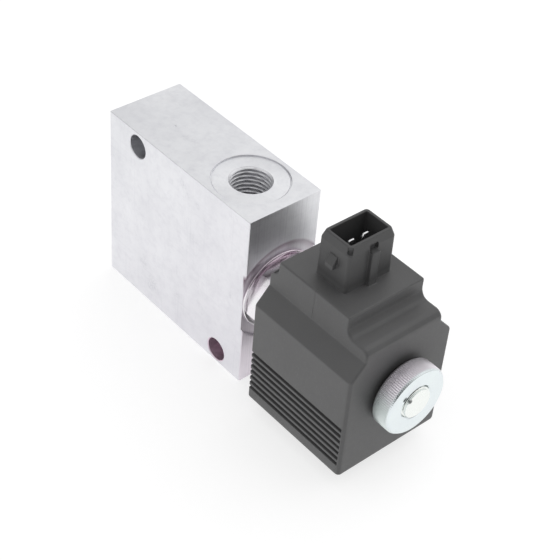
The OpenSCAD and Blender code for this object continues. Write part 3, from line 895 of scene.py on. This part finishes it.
def housing_body(x, y, z):
    """Outer form with cooling grooves down both sides and a seam on the platform wall."""
    side = polygon_distance(SIDE, x, z)
    end = polygon_distance(END, y, z)
    plan = polygon_distance(PLAN, x, y)
    # edges are rounder in front of the platform
    soft = (np.clip((x - PLATFORM_FRONT + 0.4) / 1.2, 0, 1)
            * np.clip((PLATFORM - 0.8 - z) / 2.0, 0, 1))
    body = meet(meet(side, end, 0.42 + 0.5 * soft), plan, 0.35)
    # grooves, open at the back
    away = np.abs(y)
    row = np.clip(np.round((GROOVE_TOP - z) / GROOVE_PITCH), 0, GROOVES - 1)
    groove = np.abs(z - GROOVE_TOP + row * GROOVE_PITCH) - GROOVE_HALF
    groove = np.maximum(np.maximum(groove, (HALF_WIDTH - GROOVE_DEPTH) - away),
                        x - (FRONT_X - 1.25))
    body = meet(body, -groove, 0.13)
    seam = (np.clip(1 - np.abs(x - BLADE_X) / 0.14, 0, 1)
            * (away > PLATFORM_HALF_Y - 1) * (z > 16.4))
    return body + 0.1 * seam


def socket_wall(x, y, z):
    """Socket wall with a little draft, a tapered lip and a notch at its front +Y corner."""
    height = np.clip(z, 18.0, RIM)
    wall = np.where(height > RIM - LIP, WALL - (height - (RIM - LIP)) / LIP * 0.72,
                    WALL + (RIM - LIP - height) / 12.0 * 0.1)
    shell = rectangle_distance(x - SOCKET_X, y, SOCKET_HALF_X + wall, SOCKET_HALF_Y + wall, 1.05)
    shell = np.maximum(meet(shell, z - RIM, 0.2), 20.0 - z)
    outward = (x - SOCKET_FRONT - (y + SOCKET_HALF_Y)) * 0.7071
    across = (x - SOCKET_FRONT + (y + SOCKET_HALF_Y)) * 0.7071
    notch = np.maximum(np.maximum(0.62 - outward, np.abs(across) - 0.62),
                       np.maximum(RIM - 2.0 - z, z - (RIM - 0.3)))
    return meet(shell, -notch, 0.12)


def inner_space(x, y, z):
    """Space moulded round the winding, flux frame, blades and lead wires."""
    away = np.abs(y)
    radius = np.sqrt(y * y + z * z)
    space = np.maximum(radius - 15.65, np.maximum(BACK_X + 4.6 - x, x - (FRONT_X - 4.6)))
    half = 14.53                                     # half width of the frame space
    back, front = BACK_X + 1.4, FRONT_X - 1.4
    space = np.minimum(space, box_distance(x, y, z, (back, -half, -21.53),
                                           (front, half, -18.37)))
    for start in (back, FRONT_X - 4.63):
        space = np.minimum(space, box_distance(x, y, z, (start, -half, -21.53),
                                               (start + 3.23, half, 10.03)))
    blades = np.maximum(np.maximum(np.abs(x - BLADE_X) - BLADE_HALF_X,
                                   np.abs(away - BLADE_Y) - BLADE_HALF_Y),
                        np.maximum(19.98 - z, z - 27.5))
    wires = np.maximum(np.sqrt((x - BLADE_X) ** 2 + (away - BLADE_Y) ** 2) - 0.42,
                       np.maximum(15.0 - z, z - 20.2))
    return np.minimum(np.minimum(space, blades), wires)


def coil_distance(x, y, z):
    z = z - AXIS_Z
    body = join(housing_body(x, y, z), socket_wall(x, y, z), 0.06)
    # keying rib on the front of the socket, with a recess in the wall above it
    rib = box_distance(x, y, z, (SOCKET_FRONT, -1.16, PLATFORM - 0.6),
                       (SOCKET_FRONT + 2.93, 1.62, RIM - 2.6), 0.25)
    pocket = box_distance(x, y, z, (SOCKET_FRONT + 0.75, -1.0, RIM - 3.5),
                          (SOCKET_FRONT + 3.2, 1.9, RIM - 2.0), 0.15)
    body = meet(join(body, rib, 0.3), -pocket, 0.12)
    # latch ramp on each Y end of the socket
    ramp = np.maximum(polygon_distance(RAMP, np.abs(y), z), np.abs(x - BLADE_X) - 1.6)
    body = join(body, ramp + 0.05, 0.1)
    cavity = rectangle_distance(x - SOCKET_X, y, SOCKET_HALF_X, SOCKET_HALF_Y, 0.35)
    body = meet(body, -np.maximum(cavity, (PLATFORM + 0.5) - z), 0.14)
    bore = np.sqrt(y * y + z * z) - 6.6
    body = meet(body, -bore, 0.3)
    return np.maximum(body, -inner_space(x, y, z))


def coil_grid():
    """Grid lines, closer together at edges, grooves and the socket details."""
    coarse = 1.0
    edge, detail = 0.3 * coarse, 0.22 * coarse
    # start, end, step
    xs = grid_axis(BACK_X - 0.7, FRONT_X + 0.7, 0.8 * coarse, [
        (BACK_X - 0.7, PLATFORM_BACK + 1.0, edge),
        (PLATFORM_FRONT - 0.8, FRONT_X + 0.7, edge),
        (SOCKET_X - SOCKET_HALF_X - 2.2, SOCKET_X - SOCKET_HALF_X + 0.6, 0.25 * coarse),
        (SOCKET_FRONT - 0.5, SOCKET_FRONT + 3.4, detail),
        (SOCKET_X - 2.2, SOCKET_X - 1.6, 0.2 * coarse),
        (SOCKET_X + 0.9, SOCKET_X + 1.5, 0.2 * coarse),
        (SOCKET_X - 0.5, SOCKET_X - 0.1, 0.065),
        (SOCKET_X - 0.35, SOCKET_X + 0.8, 0.2 * coarse)])
    spans = [(12.4, HALF_WIDTH + 0.6, edge), (SOCKET_HALF_Y - 0.6, SOCKET_HALF_Y + 3.3, detail),
             (0.4, 2.1, detail)]
    ys = grid_axis(-HALF_WIDTH - 0.6, HALF_WIDTH + 0.6, 0.75 * coarse,
                   spans + [(-end, -start, step) for start, end, step in spans])
    zs = AXIS_Z + grid_axis(-25.1, RIM + 0.7, 0.8 * coarse, [
        (-25.1, -20.9, edge), (-20.9, GROOVE_TOP + 1.2, 0.19 * coarse), (9.6, 12.0, edge),
        (14.5, 17.2, edge), (17.2, PLATFORM + 2.6, edge), (RIM - 8.2, RIM - 3.5, detail),
        (RIM - 3.5, RIM - 2.2, 0.25 * coarse), (RIM - 1.1, RIM + 0.7, 0.16 * coarse)])
    return xs, ys, zs


def coil_material():
    """Glass-filled plastic, with painted shade that darkens the socket, the sloping shoulders and the
    upright corners.
    """
    mat = plastic("coil_glass_filled_plastic", (0.108, 0.108, 0.109), rough=0.5, vary=0.012,
                  grain=4200, bump=0.32)
    x, y, z = mat.xyz("Object")
    normal_x, normal_y, normal_z = mat.xyz("Normal")
    above = AXIS_Z + PLATFORM
    # painted shade: the socket above the platform, the sloping shoulders and the upright corners are
    # mixed towards a darker colour
    socket = mat.fade(z, span=((above + 0.6) * MM, (above + 2.2) * MM), to=(0.0, 0.62))
    slope = mat.mul(mat.fade(mat.gap(normal_z, 0.62), span=(0.12, 0.3), to=(1.0, 0.0)), 0.22)
    diagonal = mat.math("MINIMUM", mat.math("ABSOLUTE", normal_x),
                        mat.math("ABSOLUTE", normal_y))
    corner = mat.fade(diagonal, span=(0.2, 0.5), to=(0.0, 0.3))
    painted_shade = mat.math("MAXIMUM", socket, mat.math("MAXIMUM", slope, corner))
    fibres = mat.remap(mat.streaks((5200, 5200, 900), detail=2, rough=0.5), span=(0.62, 0.78))
    colour = mat.tint(mat.colour, mask=fibres, amount=0.25, colour=(0.24, 0.24, 0.24))
    mat.set("Base Color", mat.mix(painted_shade, colour, (0.042, 0.042, 0.043)))
    return mat


def build_coil():
    points, quads, normals = surface_nets(coil_distance, *coil_grid())
    obj = new_object("coil_moulding", points, quads, normals=normals)
    install(obj, coil_material(), "coil", "coil_housing")


# ------------------------------------------------------------------ plug blades
def build_blades():
    low, high = blade_lo[2], blade_hi[2]
    # z, half thickness, half width: straight, then tapered at the tip
    rings = [(low, BLADE_HALF_X, BLADE_HALF_Y), (high - 0.95, BLADE_HALF_X, BLADE_HALF_Y),
             (high - 0.14, 0.30, BLADE_HALF_Y - 0.50), (high, 0.19, BLADE_HALF_Y - 0.66)]
    verts, faces = [], []
    for side in (-1, 1):
        first = len(verts)
        for z, half_x, half_y in rings:
            verts += [(BLADE_X + i * half_x, side * BLADE_Y + j * half_y, z)
                      for i, j in ((-1, -1), (1, -1), (1, 1), (-1, 1))]
        faces.append([first + 3, first + 2, first + 1, first])
        faces.append([first + 4 * (len(rings) - 1) + i for i in range(4)])
        for k in range(len(rings) - 1):
            row = first + 4 * k
            faces += [[row + i, row + (i + 1) % 4, row + 4 + (i + 1) % 4, row + 4 + i]
                      for i in range(4)]
    obj = clean(new_object("plug_blades", verts, faces, smooth=False))
    bevel(obj, width=0.07, angle=12)
    crisp(obj, angle=40)
    mat = metal("tinned_blades", (0.90, 0.90, 0.91), rough=0.22, vary=0.06, bump=0.10,
                streak=(60, 60, 1500))
    install(obj, mat, "coil", "terminal_blades")


# ------------------------------------------------------------------ stake marks
STAKE_ANGLE = math.atan2(0.62, -0.78)    # about the axis from +Y: upper -Y side
NUT_STAKE, STUD_STAKE = 5.95, 3.95       # radius of each mark from the axis


def press_stake(verts, face_x, radius, spread, depth):
    """Press a mark into the turned face at face_x."""
    half_length = 0.62
    angle = np.arctan2(verts[:, 2] - AXIS_Z, verts[:, 1])
    distance = np.hypot(verts[:, 1], verts[:, 2] - AXIS_Z)
    turn = (angle - STAKE_ANGLE + math.pi) % (2 * math.pi) - math.pi
    weight = (np.exp(-((turn * radius / half_length) ** 4))
              * np.exp(-((distance - radius) / spread) ** 2)
              * (np.abs(verts[:, 0] - face_x) < 0.3))
    verts[:, 0] -= depth * weight
    return verts


def stake_shade(mat, base, face_x, radius, reach):
    """Painted shade: darken the metal in the bottom of the mark."""
    x, y, z = mat.xyz("Object")
    off_y = mat.sub(y, radius * math.cos(STAKE_ANGLE) * MM)
    off_z = mat.sub(z, (AXIS_Z + radius * math.sin(STAKE_ANGLE)) * MM)
    spot = mat.fade(mat.radius(off_y, off_z), span=(reach * 0.7, reach * 1.25), to=(1.0, 0.0))
    mark = mat.mul(spot, mat.near(x, face_x * MM, reach=0.0008))
    return mat.tint(base, mask=mark, amount=0.9, colour=(0.14, 0.15, 0.15))


# ------------------------------------------------------------------ knurled coil nut
KNURL_TEETH = 104
KNURL_DEPTH = 0.36
NUT_BORE = 5.03
COIL_THREAD_PITCH = 1.0          # nut and stud


def nut_profile(back, front, outer):
    """Closed (radius, x) loop: back rim, knurled side, front face, threaded bore, back."""
    profile = [
        (9.0, back + 0.6), (9.0, back + 0.05), (9.06, back), (9.95, back), (10.1, back + 0.06),
        (outer - 0.18, back + 0.38), (outer - 0.06, back + 0.5), (outer, back + 0.6),
        (outer, front - 0.78), (outer - 0.10, front - 0.66), (outer - 0.22, front - 0.55),
        (outer - 0.30, front - 0.48), (outer - 0.55, front - 0.12),
        (outer - 0.66, front - 0.03), (outer - 0.80, front)]
    profile += [(NUT_BORE + step, front) for step in (2.2, 1.6, 1.3, 1.05, 0.8, 0.62)]
    profile += [(NUT_BORE + 0.5, front - 0.05), (NUT_BORE + 0.04, front - 0.45)]
    profile += [(NUT_BORE, h) for h in stations(front - 0.55, back + 0.5, 0.125)]
    profile += [(NUT_BORE + 0.45, back + 0.03), (NUT_BORE + 0.55, back), (6.9, back),
                (7.0, back + 0.08), (7.0, back + 0.6)]
    return profile


def nut_material(front):
    """Zinc plating, with a mauve to green passivation film over the knurl."""
    mat = turned_metal("zinc_plated_nut", pitch=0.0003, bump=0.10)
    x, y, z = mat.xyz("Object")
    side = mat.fade(x, span=((front - 0.9) * MM, (front - 0.4) * MM), to=(1.0, 0.0))
    film = mat.mix(mat.fade(z, span=((AXIS_Z + 0.5) * MM, (AXIS_Z + 8.5) * MM)),
                   (0.78, 0.84, 0.83), (0.84, 0.81, 0.85))
    drift = mat.remap(mat.noise(scale=140, detail=3), span=(0.35, 0.65))
    zinc = mat.mix(drift, (0.80, 0.86, 0.865), (0.77, 0.82, 0.84))
    mat.set("Base Color", stake_shade(mat, mat.mix(side, zinc, film), front, NUT_STAKE,
                                      reach=0.00068))
    mat.set("Roughness", mat.blend(side, low=0.27, high=0.43))
    return mat


def build_nut():
    back, front, outer = nut_lo[0], nut_hi[0], nut_hi[2] - AXIS_Z
    thread = thread_shape(NUT_BORE, COIL_THREAD_PITCH, depth=0.55, start=back + 0.2,
                          end=front - 0.35, fade=0.8)

    def shape(radius, height, angles):
        if radius > outer - 0.4 and height > back + 0.3:      # the knurled rows
            wave = np.abs(2 * ((angles * KNURL_TEETH / (2 * math.pi)) % 1.0) - 1)
            crest = outer - KNURL_DEPTH * (1 - np.clip(wave * 1.2, 0, 1))
            return np.minimum(crest, radius)
        return thread(radius, height, angles)

    verts, faces = revolve(nut_profile(back, front, outer), KNURL_TEETH * 6, shape=shape)
    verts = press_stake(verts, front, NUT_STAKE, spread=0.34, depth=0.42)
    obj = clean(new_object("knurled_nut", verts, faces))
    crisp(obj, angle=32)
    install(obj, nut_material(front), "nut", "coil_nut")


# ------------------------------------------------------------------ pole piece and stud
POLE_RADIUS = 5.88
STUD_ROOT = 4.42


def stud_material(front):
    mat = turned_metal("plated_stud", pitch=0.00028, bump=0.08)
    mat.set("Roughness", mat.blend(mat.noise(scale=500, detail=3), low=0.23, high=0.34))
    mat.set("Base Color", stake_shade(mat, (0.88, 0.905, 0.88), front, STUD_STAKE,
                                      reach=0.00062))
    return mat


def build_pole():
    pole_lo, pole_hi = node_box("pole_piece")
    back, front = pole_lo[0], pole_hi[0]
    tube_end = node_box("guide_tube")[1][0]
    start, end = FRONT_X + 0.55, front - 0.62        # ends of the stud thread
    thread = thread_shape(STUD_ROOT, COIL_THREAD_PITCH, depth=0.52, start=start,
                          end=end + 0.55, fade=0.7)
    profile = [(0, back + 4.0), (2.6, back + 4.0), (2.6, back + 0.25), (2.8, back),
               (POLE_RADIUS - 0.25, back), (POLE_RADIUS, back + 0.25),
               (POLE_RADIUS, tube_end + 0.25), (POLE_RADIUS - 0.2, tube_end + 0.4),
               (4.35, tube_end + 0.4), (4.35, start - 0.1)]
    profile += [(STUD_ROOT, h) for h in stations(start, end, 0.1)]
    profile += [(4.5, end + 0.1), (4.5, front - 0.14), (4.44, front - 0.05)]
    profile += [(radius, front) for radius in (4.32, 4.1, 3.85, 3.6, 3.3, 2.4, 0)]
    verts, faces = revolve(profile, 160, shape=thread)
    verts = press_stake(verts, front, STUD_STAKE, spread=0.30, depth=0.34)
    obj = clean(new_object("pole_and_stud", verts, faces))
    crisp(obj, angle=32)
    install(obj, stud_material(front), "root", "pole_piece")


# ------------------------------------------------------------------ seals, spring and winding
def build_seal(name, node, body, mat):
    low, high = node_box(node)
    section = (high[0] - low[0]) / 2
    middle = (high[2] - low[2]) / 2 - section
    x = (low[0] + high[0]) / 2
    angles = [2 * math.pi * k / 28 for k in range(28)]
    profile = [(middle + section * math.cos(a), x + section * math.sin(a)) for a in angles]
    install(turned_object(name, profile), mat, body, node)


def build_spring():
    """Compression spring with one closed turn at each end."""
    low, high = node_box("return_spring")
    wire, coil_radius, turns = 0.35, 2.0, 9
    turn_steps, wire_steps = 48, 14
    start, end = low[0] + wire, high[0] - wire
    lead = 2 * wire + 0.02                           # advance of a closed turn
    verts, faces = [], []
    count = turns * turn_steps
    for i in range(count + 1):
        turn = i / turn_steps
        around = 2 * math.pi * turn
        if turn <= 1:
            place = start + lead * turn
        elif turn >= turns - 1:
            place = end - lead * (turns - turn)
        else:
            place = start + lead + (end - start - 2 * lead) * (turn - 1) / (turns - 2)
        for j in range(wire_steps):
            angle = 2 * math.pi * j / wire_steps
            radius = coil_radius + wire * math.cos(angle)
            verts.append((place + wire * math.sin(angle), radius * math.sin(around),
                          AXIS_Z - radius * math.cos(around)))
    for i in range(count):
        row, following = i * wire_steps, (i + 1) * wire_steps
        for j in range(wire_steps):
            k = (j + 1) % wire_steps
            faces.append((row + j, row + k, following + k, following + j))
    faces.append(tuple(range(wire_steps)))
    faces.append(tuple(count * wire_steps + j for j in range(wire_steps - 1, -1, -1)))
    obj = clean(new_object("armature_spring", verts, faces))
    mat = metal("spring_wire", (0.70, 0.71, 0.73), rough=0.25, bump=0.1)
    install(obj, mat, "root", "return_spring")
    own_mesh(obj)


def build_winding():
    """Sleeve with one ridge for each turn of wire in its outer layer."""
    low, high = node_box("winding")
    start, end = low[0], high[0]
    inner, wire = 7.63, 0.25                         # sleeve bore and wire radius
    middle = high[2] - AXIS_Z - wire
    count = int((end - start) / (2 * wire))
    pitch = (end - start) / count
    profile = [(inner, start), (middle, start)]
    for k in range(count):
        for angle in [math.pi * (q + 0.5) / 5 for q in range(5)]:
            profile.append((middle + wire * math.sin(angle),
                            start + pitch * (k + 0.5 - 0.5 * math.cos(angle))))
    profile += [(middle, end), (inner, end)]
    obj = turned_object("coil_winding", profile, 96)
    mat = metal("enamelled_copper", (0.62, 0.25, 0.10), rough=0.3, vary=0.06, bump=0.1)
    install(obj, mat, "coil", "winding")


# ------------------------------------------------------------------ CAD pieces shown as they are
def paint_inner_parts():
    parts = {
        "cage": metal("ground_steel_cage", (0.62, 0.63, 0.66), rough=0.22, bump=0.08,
                      streak=(1500, 30, 30)),
        "spool": metal("ground_steel_spool", (0.70, 0.71, 0.73), rough=0.14, bump=0.06,
                       streak=(1800, 30, 30)),
        "coupling_pin": metal("pin_steel", (0.72, 0.73, 0.74), rough=0.2),
        "armature": metal("armature_iron", (0.58, 0.59, 0.62), rough=0.3, bump=0.12,
                          streak=(1200, 30, 30)),
        "residual_shim": metal("shim_brass", (0.80, 0.62, 0.28), rough=0.25),
        "guide_tube": metal("drawn_stainless", (0.76, 0.77, 0.78), rough=0.22, bump=0.10,
                            streak=(40, 1500, 1500)),
        "flux_frame": metal("yoke_steel", (0.50, 0.51, 0.54), rough=0.38, bump=0.2),
        "lead_wires": metal("lead_copper", (0.72, 0.36, 0.17), rough=0.25),
        "nose_backup_rings": plastic("ptfe", (0.86, 0.84, 0.78), rough=0.35, vary=0.03,
                                     grain=2500, bump=0.1),
        "bobbin": plastic("bobbin_nylon", (0.80, 0.78, 0.70), rough=0.45, vary=0.04,
                          grain=2500, bump=0.15),
        "winding_tape": plastic("polyester_tape", (0.72, 0.55, 0.12), rough=0.22, vary=0.05,
                                grain=1500, bump=0.12),
    }
    for name, mat in parts.items():
        paint(frame["nodes"][name], mat)


# ------------------------------------------------------------------ floor, light, camera
def build_floor():
    """Softly glowing table just below the block."""
    half, z = 3.0, -0.00005                          # metres
    mesh = bpy.data.meshes.new("floor")
    mesh.from_pydata([(-half, -half, z), (half, -half, z), (half, half, z), (-half, half, z)],
                     [], [(0, 1, 2, 3)])
    obj = bpy.data.objects.new("floor", mesh)
    scene.collection.objects.link(obj)
    mat = Shader("pale_floor")
    cloud = mat.noise(scale=6, detail=2)
    mat.set("Base Color", mat.mix(cloud, (0.49, 0.49, 0.49), (0.51, 0.51, 0.51)))
    mat.set("Roughness", 0.9)
    mat.set("Specular IOR Level", 0.1)
    mat.set("Emission Color", (1, 1, 1))
    mat.set("Emission Strength", 0.66)
    obj.data.materials.append(mat.data)


# Soft lights round the table: azimuth from +X, elevation, strength.
SOFT_LIGHTS = [
    (0, 90, 0.53),
    (0, 52, 0.27), (60, 52, 0.46), (120, 52, 0.47), (240, 52, 0.17), (300, 52, 0.37),
    (45, 16, 0.51), (90, 16, 0.45), (135, 16, 0.71), (180, 16, 0.16), (225, 16, 0.56),
    (270, 16, 0.56)]
LIGHT_EDGE, LIGHT_CORE = 46, 6       # degrees from its centre where a light starts and is full


def build_world():
    world = bpy.data.worlds.new("studio")
    scene.world = world
    world.use_nodes = True
    nodes, links = world.node_tree.nodes, world.node_tree.links
    nodes.clear()
    output = nodes.new("ShaderNodeOutputWorld")
    background = nodes.new("ShaderNodeBackground")
    links.new(background.outputs[0], output.inputs[0])
    coords = nodes.new("ShaderNodeTexCoord")
    total = None
    for azimuth, elevation, power in SOFT_LIGHTS:
        a, e = math.radians(azimuth), math.radians(elevation)
        dot = nodes.new("ShaderNodeVectorMath")
        dot.operation = "DOT_PRODUCT"
        links.new(coords.outputs["Generated"], dot.inputs[0])
        dot.inputs[1].default_value = (math.cos(a) * math.cos(e), math.sin(a) * math.cos(e),
                                       math.sin(e))
        spread = nodes.new("ShaderNodeMapRange")
        spread.interpolation_type = "SMOOTHSTEP"
        links.new(dot.outputs["Value"], spread.inputs["Value"])
        spread.inputs["From Min"].default_value = math.cos(math.radians(LIGHT_EDGE))
        spread.inputs["From Max"].default_value = math.cos(math.radians(LIGHT_CORE))
        spread.inputs["To Min"].default_value = 0.0
        spread.inputs["To Max"].default_value = power
        if total is None:
            total = spread.outputs[0]
        else:
            add = nodes.new("ShaderNodeMath")
            add.operation = "ADD"
            links.new(total, add.inputs[0])
            links.new(spread.outputs[0], add.inputs[1])
            total = add.outputs[0]
    links.new(total, background.inputs["Color"])
    background.inputs["Strength"].default_value = 1.0


def build_camera():
    """Camera above the nut end, on the -Y side."""
    # azimuth from -Y towards +X, elevation, roll
    azimuth, elevation, roll = map(math.radians, (46.095, 40.827, 5.297))
    back = Vector((math.sin(azimuth) * math.cos(elevation),
                   -math.cos(azimuth) * math.cos(elevation), math.sin(elevation)))
    forward = -back
    right = forward.cross(Vector((0, 0, 1))).normalized()
    upward = right.cross(forward)
    rolled_right = right * math.cos(roll) + upward * math.sin(roll)
    rolled_up = -right * math.sin(roll) + upward * math.cos(roll)
    turn = Matrix((rolled_right, rolled_up, back)).transposed()
    camera = bpy.data.cameras.new("camera")
    obj = bpy.data.objects.new("camera", camera)
    scene.collection.objects.link(obj)
    place = Vector((FACE_X + 217.34, -209.07, block_hi[2] + 234.41)) * MM
    obj.matrix_world = Matrix.Translation(place) @ turn.to_4x4()
    camera.lens = 91.53
    camera.sensor_width = 36
    camera.clip_start = 0.01
    camera.clip_end = 20
    scene.camera = obj


# ------------------------------------------------------------------ build everything
build_block()
build_adapter()
build_coil()
build_blades()
build_nut()
build_pole()
rubber = rubber_material()
build_seal("coil_rear_o_ring", "coil_rear_seal", "root", rubber)
build_seal("coil_front_o_ring", "coil_front_seal", "nut_seal", rubber)
build_seal("head_o_ring", "head_seal_ring", "root", rubber)
build_seal("nose_o_ring", "nose_seal_ring", "root", rubber)
build_spring()
build_winding()
paint_inner_parts()
build_floor()
build_world()
build_camera()
scene.view_settings.view_transform = "Standard"
scene.view_settings.look = "None"
